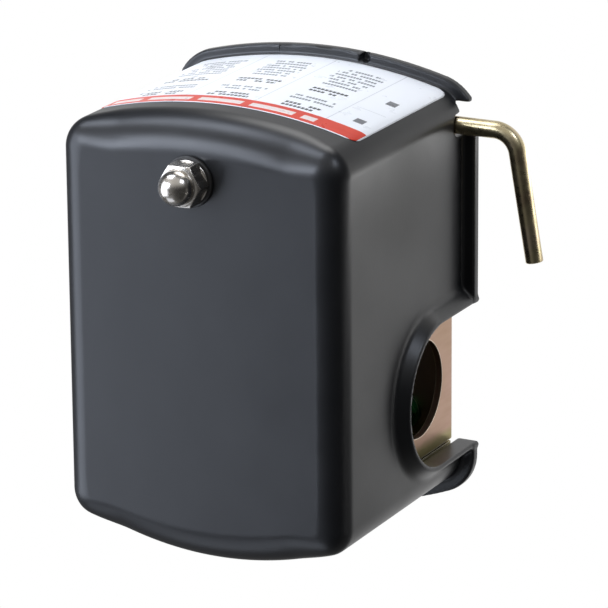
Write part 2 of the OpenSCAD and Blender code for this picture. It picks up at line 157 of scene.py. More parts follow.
def net_quads(inside, index):
    """The quads of a surface net, facing out of the solid."""
    quads = []
    for axis in range(3):
        u, v = (axis + 1) % 3, (axis + 2) % 3
        near = [slice(None)] * 3
        far = [slice(None)] * 3
        near[axis], far[axis] = slice(0, -1), slice(1, None)
        start, end = inside[tuple(near)], inside[tuple(far)]
        at = np.argwhere(start != end)
        at = at[(at[:, u] > 0) & (at[:, v] > 0)]
        leaves = start[tuple(at.T)]
        ring = []
        for du, dv in ((-1, -1), (0, -1), (0, 0), (-1, 0)):
            cell = at.copy()
            cell[:, u] += du
            cell[:, v] += dv
            ring.append(index[tuple(cell.T)])
        ring = np.stack(ring, 1)
        ring[~leaves] = ring[~leaves][:, ::-1]
        quads.append(ring)
    return np.concatenate(quads)


def new_object(name, points, faces):
    """A smooth-shaded mesh object from points in millimetres."""
    mesh = bpy.data.meshes.new(name)
    mesh.from_pydata((np.asarray(points) * MM).tolist(), [], [list(map(int, f)) for f in faces])
    mesh.polygons.foreach_set("use_smooth", [True] * len(mesh.polygons))
    mesh.update()
    obj = bpy.data.objects.new(name, mesh)
    bpy.context.scene.collection.objects.link(obj)
    return obj


def thin_out(obj, ratio):
    """Lowers the number of faces of a mesh."""
    modifier = obj.modifiers.new("thin", "DECIMATE")
    modifier.ratio = ratio
    bpy.context.view_layer.update()
    evaluated = obj.evaluated_get(bpy.context.evaluated_depsgraph_get())
    mesh = bpy.data.meshes.new_from_object(evaluated)
    obj.modifiers.clear()
    obj.data = mesh


def solid_piece(name, field, lo, hi, step, triangles):
    """A piece whose surface is the zero surface of a distance field, with normals taken from the field."""
    points, quads = surface_net(field, lo, hi, step)
    points = pull_to_surface(field, points, step * 0.5)
    obj = new_object(name, points, quads)
    if 2 * len(quads) > triangles:
        thin_out(obj, triangles / (2 * len(quads)))
    mesh = obj.data
    co = np.empty(len(mesh.vertices) * 3)
    mesh.vertices.foreach_get("co", co)
    p = pull_to_surface(field, co.reshape(-1, 3) / MM, step * 0.2, 3)
    mesh.vertices.foreach_set("co", (p * MM).ravel())
    mesh.polygons.foreach_set("use_smooth", [True] * len(mesh.polygons))
    mesh.update()
    g = gradient(field, p)
    g /= np.maximum(np.linalg.norm(g, axis=1), 1e-9)[:, None]
    mesh.normals_split_custom_set_from_vertices(g.tolist())
    return obj


# ---------- swept rods, wires and threads ----------


def sweep(name, path, radius, sides):
    """A round rod along a path of points. radius is one number or one for each point."""
    path = np.asarray(path, float)
    radii = np.broadcast_to(np.asarray(radius, float), (len(path),))
    tangent = np.gradient(path, axis=0)
    tangent /= np.linalg.norm(tangent, axis=1)[:, None]
    side = np.cross(tangent[0], [0.3, 0.5, 0.81])
    angles = np.linspace(0, 2 * math.pi, sides, endpoint=False)
    points = []
    for i in range(len(path)):
        side = side - tangent[i] * (side @ tangent[i])
        side /= np.linalg.norm(side)
        other = np.cross(tangent[i], side)
        ring = np.cos(angles)[:, None] * side + np.sin(angles)[:, None] * other
        points.append(path[i] + radii[i] * ring)
    faces = []
    for i in range(len(path) - 1):
        for j in range(sides):
            k = (j + 1) % sides
            faces.append((i * sides + j, i * sides + k, (i + 1) * sides + k, (i + 1) * sides + j))
    last = (len(path) - 1) * sides
    faces.append(list(range(sides - 1, -1, -1)))
    faces.append([last + j for j in range(sides)])
    return new_object(name, np.concatenate(points), faces)


def rounded_ends(path, radius, edge):
    """Adds points near both ends of a path, and radii that round the end edges."""
    path = [np.asarray(p, float) for p in path]
    first = path[0] - path[1]
    last = path[-1] - path[-2]
    first /= np.linalg.norm(first)
    last /= np.linalg.norm(last)
    turn = np.linspace(0, math.pi / 2, 6)
    shrink = radius - edge + edge * np.sin(turn)
    depth = edge - edge * np.cos(turn)
    head = [path[0] - first * d for d in depth]
    tail = [path[-1] - last * d for d in depth[::-1]]
    radii = list(shrink) + [radius] * (len(path) - 2) + list(shrink[::-1])
    return head + path[1:-1] + tail, radii


# ---------- procedural materials ----------

SHADER_INPUTS = {
    "colour": "Base Color",
    "rough": "Roughness",
    "metal": "Metallic",
    "normal": "Normal",
    "specular": "Specular IOR Level",
    "subsurface": "Subsurface Weight",
}
# Where the frame's tint changes, in metres: along Y from rosy to olive, and up Z from pale to full tint.
OLIVE_START, OLIVE_END = 0.0374, 0.0394
PALE_END, PALE_START = 0.0182, 0.0196


class Finish:
    """A node material with a few shorthand calls for its nodes."""

    def __init__(self, name):
        self.material = bpy.data.materials.new(name)
        self.material.use_nodes = True
        self.tree = self.material.node_tree
        self.shader = self.tree.nodes["Principled BSDF"]
        self.place = self.node("ShaderNodeTexCoord").outputs["Object"]

    def node(self, kind, **values):
        made = self.tree.nodes.new(kind)
        for key, value in values.items():
            setattr(made, key, value)
        return made

    def join(self, source, target):
        if hasattr(source, "links"):
            self.tree.links.new(source, target)
        else:
            target.default_value = source

    def axes(self):
        """X, Y and Z of the place that is shaded."""
        split = self.node("ShaderNodeSeparateXYZ")
        self.join(self.place, split.inputs["Vector"])
        return split.outputs["X"], split.outputs["Y"], split.outputs["Z"]

    def math(self, operation, a, b=0.0):
        made = self.node("ShaderNodeMath", operation=operation)
        self.join(a, made.inputs[0])
        self.join(b, made.inputs[1])
        return made.outputs[0]

    def noise(self, scale, detail=3.0, roughness=0.55, stretch=None):
        """Noise of a given number of grains to the metre."""
        made = self.node("ShaderNodeTexNoise")
        made.inputs["Scale"].default_value = scale
        made.inputs["Detail"].default_value = detail
        made.inputs["Roughness"].default_value = roughness
        where = self.place
        if stretch:
            mapping = self.node("ShaderNodeMapping")
            mapping.inputs["Scale"].default_value = stretch
            self.join(self.place, mapping.inputs["Vector"])
            where = mapping.outputs["Vector"]
        self.join(where, made.inputs["Vector"])
        return made.outputs["Fac"]

    def between(self, value, lo, hi, out_lo, out_hi):
        made = self.node("ShaderNodeMapRange")
        self.join(value, made.inputs["Value"])
        for key, number in (("From Min", lo), ("From Max", hi), ("To Min", out_lo), ("To Max", out_hi)):
            self.join(number, made.inputs[key])
        return made.outputs["Result"]

    def mix(self, share, a, b):
        made = self.node("ShaderNodeMix", data_type="RGBA")
        self.join(share, made.inputs["Factor"])
        for value, target in ((a, made.inputs[6]), (b, made.inputs[7])):
            self.join(value if hasattr(value, "links") else (*value, 1), target)
        return made.outputs[2]

    def ramp(self, value, stops):
        made = self.node("ShaderNodeValToRGB")
        band = made.color_ramp
        while len(band.elements) < len(stops):
            band.elements.new(0.5)
        for element, (position, colour) in zip(band.elements, stops):
            element.position = position
            element.color = (*colour, 1)
        self.join(value, made.inputs["Fac"])
        return made.outputs["Color"]

    def edge(self, start, end):
        """1 on the outward edges of a finely meshed piece, 0 elsewhere."""
        pointiness = self.node("ShaderNodeNewGeometry").outputs["Pointiness"]
        return self.between(pointiness, start, end, 0.0, 1.0)

    def crease(self, radius=0.0003):
        """1 within a short distance of a sharp edge, 0 on flat faces, whatever the mesh is like."""
        rounded = self.node("ShaderNodeBevel", samples=6)
        rounded.inputs["Radius"].default_value = radius
        facing = self.node("ShaderNodeVectorMath", operation="DOT_PRODUCT")
        self.join(rounded.outputs["Normal"], facing.inputs[0])
        self.join(self.node("ShaderNodeNewGeometry").outputs["Normal"], facing.inputs[1])
        return self.between(facing.outputs["Value"], 0.995, 0.93, 0.0, 1.0)

    def bump(self, height, depth, strength, below=None):
        made = self.node("ShaderNodeBump")
        made.inputs["Strength"].default_value = strength
        made.inputs["Distance"].default_value = depth
        self.join(height, made.inputs["Height"])
        if below is not None:
            self.join(below, made.inputs["Normal"])
        return made.outputs["Normal"]

    def set(self, **values):
        """Joins values to the shader and hands back the material."""
        for key, value in values.items():
            self.join(value, self.shader.inputs[SHADER_INPUTS[key]])
        return self.material


def moulded_plastic():
    """Charcoal thermoplastic with a fine eroded grain, slightly polished along its edges."""
    f = Finish("cover_plastic_grain")
    cloud = f.noise(45, 4)
    grain = f.noise(2600, 2)
    cloudy = f.between(cloud, 0.3, 0.7, 0.0, 1.0)
    colour = f.mix(cloudy, (0.009, 0.0095, 0.011), (0.013, 0.0135, 0.015))
    worn = f.math("MULTIPLY", f.edge(0.53, 0.62), f.between(f.noise(320), 0.4, 0.7, 0.0, 0.5))
    colour = f.mix(worn, colour, (0.030, 0.031, 0.034))
    rough = f.between(f.noise(90, 5), 0.25, 0.75, 0.31, 0.38)
    waves = f.bump(f.noise(60, 2), 0.0004, 0.15)
    normal = f.bump(grain, 0.00002, 0.6, waves)
    return f.set(colour=colour, rough=rough, normal=normal, specular=0.5)


def plated(name, stops, rough, tint_scale=70, depth=0.00001):
    """Plated steel: its tint drifts over the surface and the plating has a fine, streaky grain."""
    f = Finish(name)
    drift = f.noise(tint_scale, 3)
    colour = f.ramp(f.between(drift, 0.3, 0.7, 0.0, 1.0), stops)
    streak = f.noise(900, 3, 0.6, (1.0, 1.0, 0.12))
    spread = f.between(streak, 0.3, 0.7, rough - 0.06, rough + 0.08)
    colour = f.mix(f.math("MULTIPLY", f.crease(), 0.4), colour, (0.72, 0.70, 0.66))
    return f.set(colour=colour, rough=spread, metal=1.0, normal=f.bump(streak, depth, 0.5))


def passivated_frame():
    """Zinc with a yellow passivation: rosy walls, olive at the rear and pale low down, with a painted
    highlight along its edges.
    """
    f = Finish("zinc_frame_iridescent")
    _, y, z = f.axes()
    drift = f.between(f.noise(55, 3), 0.35, 0.65, 0.0, 1.0)
    rosy = f.mix(drift, (0.46, 0.29, 0.225), (0.42, 0.275, 0.185))
    patches = f.between(f.noise(90, 3), 0.35, 0.65, 0.0, 1.0)
    olive = f.mix(patches, (0.235, 0.21, 0.072), (0.31, 0.255, 0.11))
    along = f.math("ADD", y, f.between(f.noise(130, 2), 0.2, 0.8, -0.0008, 0.0008))
    colour = f.mix(f.between(along, OLIVE_START, OLIVE_END, 0.0, 1.0), rosy, olive)
    low = f.between(z, PALE_END, PALE_START, 1.0, 0.0)
    colour = f.mix(f.math("MULTIPLY", low, 0.6), colour, (0.47, 0.41, 0.21))
    # Painted highlight: a pale, nearly white colour a short way from each sharp edge, such as the rim of
    # the conduit hole.
    colour = f.mix(f.math("MULTIPLY", f.crease(0.0004), 0.9), colour, (0.95, 0.88, 0.72))
    streak = f.noise(900, 3, 0.6, (1.0, 1.0, 0.12))
    rough = f.between(streak, 0.3, 0.7, 0.32, 0.44)
    return f.set(colour=colour, rough=rough, metal=1.0, normal=f.bump(streak, 0.00001, 0.5))


def dull(name, dark, light, rough, subsurface=0.0):
    """A non-metal: moulded phenolic, nylon or rubber."""
    f = Finish(name)
    colour = f.mix(f.between(f.noise(160, 4), 0.3, 0.7, 0.0, 1.0), dark, light)
    spread = f.between(f.noise(420, 3), 0.3, 0.7, rough - 0.05, rough + 0.06)
    normal = f.bump(f.noise(1500, 2), 0.00002, 0.5)
    return f.set(colour=colour, rough=spread, normal=normal, subsurface=subsurface)


MATERIALS = {
    "cover_plastic": moulded_plastic(),
    "zinc_frame": passivated_frame(),
    "zinc_yellow": plated(
        "zinc_yellow_chromate",
        [(0.0, (0.40, 0.31, 0.20)), (0.5, (0.56, 0.48, 0.29)), (1.0, (0.64, 0.52, 0.37))],
        rough=0.30,
        tint_scale=140,
    ),
    "zinc_plain": plated(
        "zinc_bright",
        [(0.0, (0.38, 0.39, 0.40)), (0.6, (0.48, 0.49, 0.50)), (1.0, (0.43, 0.45, 0.49))],
        rough=0.36,
    ),
    "nickel": plated(
        "nickel_polished",
        [(0.0, (0.58, 0.53, 0.47)), (0.5, (0.64, 0.60, 0.54)), (1.0, (0.68, 0.64, 0.59))],
        rough=0.24,
        depth=0.000004,
    ),
    "spring_steel": plated(
        "spring_steel_drawn",
        [(0.0, (0.36, 0.36, 0.36)), (0.5, (0.46, 0.46, 0.45)), (1.0, (0.42, 0.40, 0.37))],
        rough=0.28,
    ),
    "brass": plated(
        "brass_stamped",
        [(0.0, (0.62, 0.43, 0.18)), (0.5, (0.74, 0.54, 0.25)), (1.0, (0.66, 0.44, 0.22))],
        rough=0.30,
    ),
    "green_screw": plated(
        "green_passivated",
        [(0.0, (0.06, 0.26, 0.12)), (0.5, (0.09, 0.33, 0.16)), (1.0, (0.12, 0.36, 0.18))],
        rough=0.34,
    ),
    "rubber_black": dull("rubber_matte", (0.018, 0.018, 0.018), (0.030, 0.030, 0.031), 0.72),
    "washer_black": dull("washer_dark", (0.015, 0.014, 0.013), (0.030, 0.027, 0.024), 0.45),
    "nylon": dull("nylon_natural", (0.62, 0.60, 0.53), (0.70, 0.68, 0.61), 0.42, subsurface=0.1),
    "phenolic_black": dull("phenolic_dark", (0.022, 0.021, 0.020), (0.036, 0.034, 0.032), 0.40),
    "phenolic_brown": dull("phenolic_warm", (0.085, 0.036, 0.020), (0.125, 0.056, 0.032), 0.40),
}


def dress(obj, slot):
    """Gives a new piece its material."""
    obj.data.materials.clear()
    obj.data.materials.append(MATERIALS[slot])


def finish_piece(obj, slot, body, node):
    """Gives a new piece its material and its body, and hides the CAD node it stands for."""
    dress(obj, slot)
    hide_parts(node)
    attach(obj, body)


# ---------- cover ----------

cover_lo, cover_hi = box_mm("cover")
TOP_Z, EDGE_Z = cover_hi[2], cover_lo[2]
WALL = 2.0
RIM_OUT, FRONT_RIM, RIM_T = 3.05, 2.3, 2.5
HALF_W = cover_hi[0] - RIM_OUT
CORNER_R = 7.0
FRONT_BOW, REAR_BOW = 111.3, 78.0
FRONT_C = cover_lo[1] + RIM_OUT + FRONT_BOW
REAR_C = cover_hi[1] - RIM_OUT - REAR_BOW
# Radius of the top edge, and where it eases from the smaller to the larger one.
SIDE_ROUND, FRONT_ROUND = 5.8, 9.0
FRONT_EASE_Y, REAR_EASE_Y, SIDE_EASE_X = -28, 38, 32
# The rim is thinner ahead of this Y and reaches its full width over this length.
RIM_EASE_Y, RIM_EASE = -42, 8
# Notch over each conduit hole, and its lip, thick at the wall and thin at its free edge.
NOTCH_Y, NOTCH_Z, NOTCH_R, NOTCH_X = 24.7, 35.1, 16.4, 20
LIP_ROOT, LIP_END, LIP_X = 3.3, 0.9, 25
# Raised pad on the front rim, and the blind hole beside it.
PAD_X0, PAD_X1, PAD_RISE = -9.0, 11.0, 0.25
BLIND_X, BLIND_OUT, BLIND_R, BLIND_FLOOR = -10.2, 1.25, 1.05, 0.6
# Slot for the lever, and the relief cut in the rim below it.
ROD_Y, ROD_Z = -32.75, 21.9
SLOT_R, SLOT_X = 2.4, -28
RELIEF_Y0, RELIEF_Y1, RELIEF_RISE = -37.6, -30.8, 0.4
# Hole for the long stud.
STUD_XY = (1.34, -30.3)
STUD_HOLE_R, STUD_HOLE_DEPTH = 2.9, 12
# A distance too large to count.
FAR = 9


def outline(x, y):
    """Distance in plan from the cover's outer face: two flat sides, two bowed faces and round corners."""
    ax = np.abs(x)
    core = HALF_W - CORNER_R
    front_y = FRONT_C - math.sqrt((FRONT_BOW - CORNER_R) ** 2 - core**2)
    rear_y = REAR_C + math.sqrt((REAR_BOW - CORNER_R) ** 2 - core**2)
    front = np.hypot(x, y - FRONT_C) - (FRONT_BOW - CORNER_R)
    rear = np.hypot(x, y - REAR_C) - (REAR_BOW - CORNER_R)
    d = np.maximum(np.maximum(ax - core, front), rear)
    at_front = (y < front_y) & (ax * (FRONT_C - front_y) > core * (FRONT_C - y))
    at_rear = (y > rear_y) & (ax * (rear_y - REAR_C) > core * (y - REAR_C))
    d = np.where(at_front, np.hypot(ax - core, y - front_y), d)
    d = np.where(at_rear, np.hypot(ax - core, y - rear_y), d)
    return d - CORNER_R


def rounded_top(d, z, top, r):
    """Distance from an upright solid with plan distance d, whose top edge is rounded by r."""
    a, b = d + r, z - top + r
    return np.minimum(np.maximum(a, b), 0) + np.hypot(np.maximum(a, 0), np.maximum(b, 0)) - r


def arch(y, z):
    """Distance in the side view from the notch over a conduit hole, which is open downwards."""
    dz = z - NOTCH_Z
    return np.where(dz > 0, np.hypot(y - NOTCH_Y, dz), np.abs(y - NOTCH_Y)) - NOTCH_R


def slab(v, lo, hi):
    """Distance from a slab between two values."""
    return np.maximum(lo - v, v - hi)


def cover_rim(x, y, z, d):
    """The flange round the open edge, with its flat pad and blind hole on the front."""
    out = FRONT_RIM + (RIM_OUT - FRONT_RIM) * smooth((y - RIM_EASE_Y) / RIM_EASE)
    rim = blend_max(d - out, slab(z, EDGE_Z, EDGE_Z + RIM_T), 0.7)
    pad = blend_max(slab(x, PAD_X0, PAD_X1), slab(d, 0.0, FRONT_RIM - PAD_RISE), 0.2)
    pad = blend_max(pad, slab(z, EDGE_Z, EDGE_Z + RIM_T + PAD_RISE), 0.2)
    rim = np.minimum(rim, np.where(y < 0, pad, FAR))
    hole = blend_max(np.hypot(x - BLIND_X, d - BLIND_OUT) - BLIND_R, EDGE_Z + BLIND_FLOOR - z, 0.2)
    return blend_max(rim, np.where(y < 0, -hole, -FAR), 0.2)


def cover_cuts(x, y, z):
    """All that is cut through the cover: two notches, the lever slot and the hole for the long stud."""
    ax = np.abs(x)
    notch = np.maximum(arch(y, z), NOTCH_X - ax)
    dz = z - ROD_Z
    slot = np.where(dz > 0, np.hypot(y - ROD_Y, dz), np.abs(y - ROD_Y)) - SLOT_R
    relief = np.maximum(slab(y, RELIEF_Y0, RELIEF_Y1), z - (EDGE_Z + RIM_T + RELIEF_RISE))
    relief = np.maximum(blend_min(slot, relief, 0.5), x - SLOT_X)
    stud = np.hypot(x - STUD_XY[0], y - STUD_XY[1]) - STUD_HOLE_R
    stud = np.maximum(stud, TOP_Z - STUD_HOLE_DEPTH - z)
    return np.minimum(np.minimum(notch, relief), stud)


def cover_field(x, y, z):
    """Distance from the moulded cover."""
    d = outline(x, y)
    at_ends = smooth((FRONT_EASE_Y - y) / 10) + smooth((y - REAR_EASE_Y) / 12)
    at_ends = at_ends * smooth((SIDE_EASE_X - np.abs(x)) / 12)
    r = SIDE_ROUND + (FRONT_ROUND - SIDE_ROUND) * at_ends
    outer = rounded_top(d, z, TOP_Z, r)
    solid = blend_min(outer, cover_rim(x, y, z, d), 0.9)
    beyond = np.clip((np.abs(x) - HALF_W) / RIM_OUT, 0, 1)
    thick = LIP_ROOT + (LIP_END - LIP_ROOT) * beyond
    lip = blend_max(0.8 * (arch(y, z) - thick), np.abs(x) - HALF_W - RIM_OUT, 0.3)
    solid = blend_min(solid, np.maximum(lip, LIP_X - np.abs(x)), 0.9)
    cavity = rounded_top(d + WALL, z, TOP_Z - WALL, r - WALL)
    shell = blend_max(solid, -cavity, 0.5)
    shell = blend_max(shell, EDGE_Z - z, 0.5)
    return blend_max(shell, -cover_cuts(x, y, z), 0.5)


COVER_STEP = 0.55
cover = solid_piece("cover_shell", cover_field, cover_lo - 1.3, cover_hi + 1.3, COVER_STEP, 190000)
finish_piece(cover, "cover_plastic", "cover_body", "cover")

# ---------- label ----------

LABEL_S = 31.7
LABEL_Z0, LABEL_Z1 = 21.2, 66.5
LABEL_CORNER = 2.6
LABEL_T = 0.12


def along_front(s, out):
    """Plan point at distance s along the front face from its crest, and on round the corner."""
    core = HALF_W - CORNER_R
    limit = math.asin(core / (FRONT_BOW - CORNER_R))
    t, sign = np.abs(s), np.sign(s)
    angle = np.minimum(t / FRONT_BOW, limit)
    turn = angle + np.maximum(t - FRONT_BOW * limit, 0) / CORNER_R
    x = (FRONT_BOW - CORNER_R) * np.sin(angle) + (CORNER_R + out) * np.sin(turn)
    y = FRONT_C - (FRONT_BOW - CORNER_R) * np.cos(angle) - (CORNER_R + out) * np.cos(turn)
    return sign * x, y


def sheet_faces(columns, rows):
    """Faces of two parallel grids of points that are joined along their border."""
    wide = columns + 1
    layer = wide * (rows + 1)
    faces = []
    for j in range(rows):
        for i in range(columns):
            a = j * wide + i
            b = a + layer
            faces.append((a, a + wide, a + wide + 1, a + 1))
            faces.append((b, b + 1, b + wide + 1, b + wide))
    ring = list(range(wide))
    ring += [j * wide + columns for j in range(1, rows + 1)]
    ring += [rows * wide + i for i in range(columns - 1, -1, -1)]
    ring += [j * wide for j in range(rows - 1, 0, -1)]
    for a, b in zip(ring, ring[1:] + ring[:1]):
        faces.append((a, b, b + layer, a + layer))
    return faces


def label_piece():
    """A thin printed sheet with round corners, on the front face and a little way round its ends."""
    columns, rows = 120, 72
    s = np.linspace(-1, 1, columns + 1)
    t = np.linspace(0, 1, rows + 1)
    z = LABEL_Z0 + (LABEL_Z1 - LABEL_Z0) * t
    near = np.minimum(z - LABEL_Z0, LABEL_Z1 - z)
    short = np.maximum(LABEL_CORNER - near, 0)
    cut = LABEL_CORNER - np.sqrt(np.maximum(LABEL_CORNER**2 - short**2, 0))
    points, marks = [], []
    for out in (0.02, LABEL_T):
        for zi, ci in zip(z, cut):
            si = s * (LABEL_S - ci)
            x, y = along_front(si, out)
            points += list(zip(x, y, np.full_like(x, zi)))
            marks += list(zip(si * MM, np.full_like(si, zi * MM)))
    obj = new_object("label_sheet", points, sheet_faces(columns, rows))
    sheet = obj.data.attributes.new("sheet", "FLOAT_VECTOR", "POINT")
    sheet.data.foreach_set("vector", np.array([(a, b, 0) for a, b in marks], np.float32).ravel())
    return obj


# Layout of the print: places along the sheet and up it. A group of rows has a bottom, a top and a pitch.
COLUMNS = ((14.6, 27.0), (-2.2, 9.0), (-19.4, -8.4))
COLUMN_RULES = (-21.4, -4.2, 12.6)
RULE_HALF = 0.13
FINE_ROWS = ((27.0, 41.0, 2.0), (50.4, 54.5, 2.05))
BOLD_ROWS = ((43.3, 47.1, 1.9), (56.2, 60.0, 1.9))
RAGGED, MARK_SHARE, GAP_CHANCE, ROW_SEED = 0.15, 0.78, 0.16, 7.31
BLOCK_S0, BLOCK_SIZE, BLOCK_ZS = -28.2, (2.4, 2.6), (38.6, 54.1)
BAND_Z0, BAND_BORDER_S, BAND_BORDER_Z = 60.4, 0.4, 0.35
BAR_S0, BAR_S1, BAR_Z0, BAR_Z1 = -20.5, 29.0, 62.2, 64.6
BAR_PITCH, BAR_SHARE = 12.4, 0.84
SHORT_RULE = (-29.5, -22.5, 47.8, 48.1)
RULE_GREY = (0.35, 0.36, 0.38)


class Print(Finish):
    """A finish for a sheet, with shapes placed by distance s along it and height z, in millimetres."""

    def __init__(self, name, attribute):
        super().__init__(name)
        self.place = self.node("ShaderNodeAttribute", attribute_name=attribute).outputs["Vector"]
        along, up, _ = self.axes()
        self.s = self.math("MULTIPLY", along, 1 / MM)
        self.z = self.math("MULTIPLY", up, 1 / MM)

    def combine(self, operation, masks):
        total = masks[0]
        for mask in masks[1:]:
            total = self.math(operation, total, mask)
        return total

    def inside(self, value, lo, hi):
        """1 where a value lies between two others."""
        above = self.math("GREATER_THAN", value, lo)
        return self.math("MULTIPLY", above, self.math("LESS_THAN", value, hi))

    def rectangle(self, s0, s1, z0, z1):
        return self.math("MULTIPLY", self.inside(self.z, z0, z1), self.inside(self.s, s0, s1))

    def dashes(self, s0, s1, z0, z1, pitch, share, letter, seed):
        """Rows of broken marks in a rectangle, each row with its own length."""
        up = self.math("DIVIDE", self.math("SUBTRACT", self.z, z0), pitch)
        row = self.math("FLOOR", up)
        along = self.math("DIVIDE", self.s, letter)
        cell = self.node("ShaderNodeCombineXYZ")
        self.join(self.math("FLOOR", along), cell.inputs["X"])
        self.join(row, cell.inputs["Y"])
        self.join(seed, cell.inputs["Z"])
        gaps = self.node("ShaderNodeTexWhiteNoise", noise_dimensions="3D")
        self.join(cell.outputs["Vector"], gaps.inputs["Vector"])
        ends = self.node("ShaderNodeTexWhiteNoise", noise_dimensions="1D")
        self.join(self.math("ADD", row, seed * ROW_SEED), ends.inputs["W"])
        reach = self.math("MULTIPLY", ends.outputs["Value"], RAGGED * (s1 - s0))
        masks = (
            self.inside(self.math("FRACT", up), 0.0, share),
            self.math("LESS_THAN", self.math("FRACT", along), MARK_SHARE),
            self.math("GREATER_THAN", gaps.outputs["Value"], GAP_CHANCE),
            self.math("GREATER_THAN", self.s, self.math("ADD", reach, s0)),
            self.math("LESS_THAN", self.s, self.math("SUBTRACT", s1, reach)),
            self.inside(self.z, z0, z1),
        )
        return self.combine("MULTIPLY", masks)

    def columns(self, rows, share, letter):
        """Rows of dashes, repeated in each column of the sheet."""
        masks = [
            self.dashes(s0, s1, z0, z1, pitch, share, letter, column + z0)
            for column, (s0, s1) in enumerate(COLUMNS)
            for z0, z1, pitch in rows
        ]
        return self.combine("MAXIMUM", masks)


def printed_matter(f, colour):
    """Thin rules, rows of plain dashes and two plain blocks over the paper's colour."""
    rules = [f.inside(f.s, at - RULE_HALF, at + RULE_HALF) for at in COLUMN_RULES]
    colour = f.mix(f.math("MULTIPLY", f.combine("MAXIMUM", rules), 0.45), colour, RULE_GREY)
    fine = f.columns(FINE_ROWS, 0.48, 0.72)
    colour = f.mix(f.math("MULTIPLY", fine, 0.90), colour, (0.07, 0.08, 0.10))
    colour = f.mix(f.columns(BOLD_ROWS, 0.60, 0.95), colour, (0.02, 0.02, 0.025))
    width, height = BLOCK_SIZE
    for z0 in BLOCK_ZS:
        block = f.rectangle(BLOCK_S0, BLOCK_S0 + width, z0, z0 + height)
        colour = f.mix(f.math("MULTIPLY", block, 0.85), colour, (0.04, 0.04, 0.05))
    rule = f.rectangle(*SHORT_RULE)
    return f.mix(f.math("MULTIPLY", rule, 0.4), colour, RULE_GREY)


def label_finish():
    """White gloss paper with plain printed shapes and a red band of pale bars along the top."""
    f = Print("label_print", "sheet")
    cloudy = f.between(f.noise(30, 3), 0.3, 0.7, 0.0, 1.0)
    colour = printed_matter(f, f.mix(cloudy, (0.90, 0.92, 0.94), (0.93, 0.94, 0.96)))
    half = LABEL_S - BAND_BORDER_S
    band = f.rectangle(-half, half, BAND_Z0, LABEL_Z1 - BAND_BORDER_Z)
    patches = f.between(f.noise(120, 3), 0.3, 0.7, 0.0, 1.0)
    colour = f.mix(band, colour, f.mix(patches, (0.66, 0.032, 0.010), (0.74, 0.048, 0.016)))
    along = f.math("FRACT", f.math("DIVIDE", f.math("ADD", f.s, 40.0), BAR_PITCH))
    bars = f.rectangle(BAR_S0, BAR_S1, BAR_Z0, BAR_Z1)
    bars = f.math("MULTIPLY", bars, f.math("LESS_THAN", along, BAR_SHARE))
    colour = f.mix(f.math("MULTIPLY", bars, 0.85), colour, (0.86, 0.84, 0.80))
    rough = f.between(f.noise(200, 3), 0.3, 0.7, 0.26, 0.36)
    normal = f.bump(f.noise(140, 2), 0.00006, 0.3)
    return f.set(colour=colour, rough=rough, normal=normal, specular=0.35)


MATERIALS["label"] = label_finish()
finish_piece(label_piece(), "label", "cover_body", "cover_label")

# ---------- cap nut and its washer ----------

nut_lo, nut_hi = box_mm("cap_nut")
NUT_X, NUT_Y = STUD_XY
NUT_AF = nut_hi[1] - nut_lo[1]
HEX_H, DOME_R = 4.3, 3.85
COLLAR_OUT, COLLAR_H = 0.4, 0.35
BORE_R, BORE_TOP, WASHER_BORE_R = 2.45, 6.0, 2.6
CHAMFER_SLOPE = 1.73


def hexagon(x, y, across):
    """Distance in plan from a regular hexagon with two faces square to Y."""
    d = np.abs(y)
    for angle in (60, 120):
        a = math.radians(angle + 90)
        d = np.maximum(d, np.abs(x * math.cos(a) + y * math.sin(a)))
    return d - across / 2


def cap_nut_field(x, y, z):
    """Distance from a domed nut: a thin collar, a chamfered hexagon and a long dome over a blind bore."""
    x, y, z = x - NUT_X, y - NUT_Y, z - nut_lo[2]
    radius = np.hypot(x, y)
    body = blend_max(hexagon(x, y, NUT_AF), slab(z, 0, HEX_H), 0.2)
    cone = (radius - NUT_AF / 2 + 0.1 + (z - HEX_H) * CHAMFER_SLOPE) / 2
    body = blend_max(body, cone, 0.2)
    collar = blend_max(radius - NUT_AF / 2 - COLLAR_OUT, slab(z, 0, COLLAR_H), 0.3)
    body = blend_min(body, collar, 0.15)
    top = nut_hi[2] - nut_lo[2] - DOME_R
    dome = np.where(z > top, np.hypot(radius, z - top), radius) - DOME_R
    dome = np.maximum(dome, 0.2 - z)
    solid = blend_min(body, dome, 0.4)
    return blend_max(solid, -np.maximum(radius - BORE_R, z - BORE_TOP), 0.2)


def washer_field(x, y, z):
    """Distance from a flat washer with soft edges."""
    radius = np.hypot(x - NUT_X, y - NUT_Y)
    return blend_max(slab(radius, WASHER_BORE_R, WASHER_R), slab(z, washer_lo[2], washer_hi[2]), 0.25)


washer_lo, washer_hi = box_mm("cap_nut_washer")
WASHER_R = (washer_hi[0] - washer_lo[0]) / 2
FINE_STEP = 0.13
cap = solid_piece("cap_nut_domed", cap_nut_field, nut_lo - 0.5, nut_hi + 0.5, FINE_STEP, 120000)
finish_piece(cap, "nickel", "cap", "cap_nut")
washer = solid_piece("cap_washer_flat", washer_field, washer_lo - 0.5, washer_hi + 0.5, FINE_STEP, 60000)
finish_piece(washer, "washer_black", "cap_washer", "cap_nut_washer")

# ---------- cut-off lever ----------

ROD_R = 1.95
CORNER_X, OUTER_BEND = -47.4, 5.5
ARM_LEN, ARM_SPLAY = 29.3, 10.0
CRANK_X, CRANK_LEN, CRANK_ANGLE, CRANK_BEND = -13.0, 13.2, 50.0, 3.5


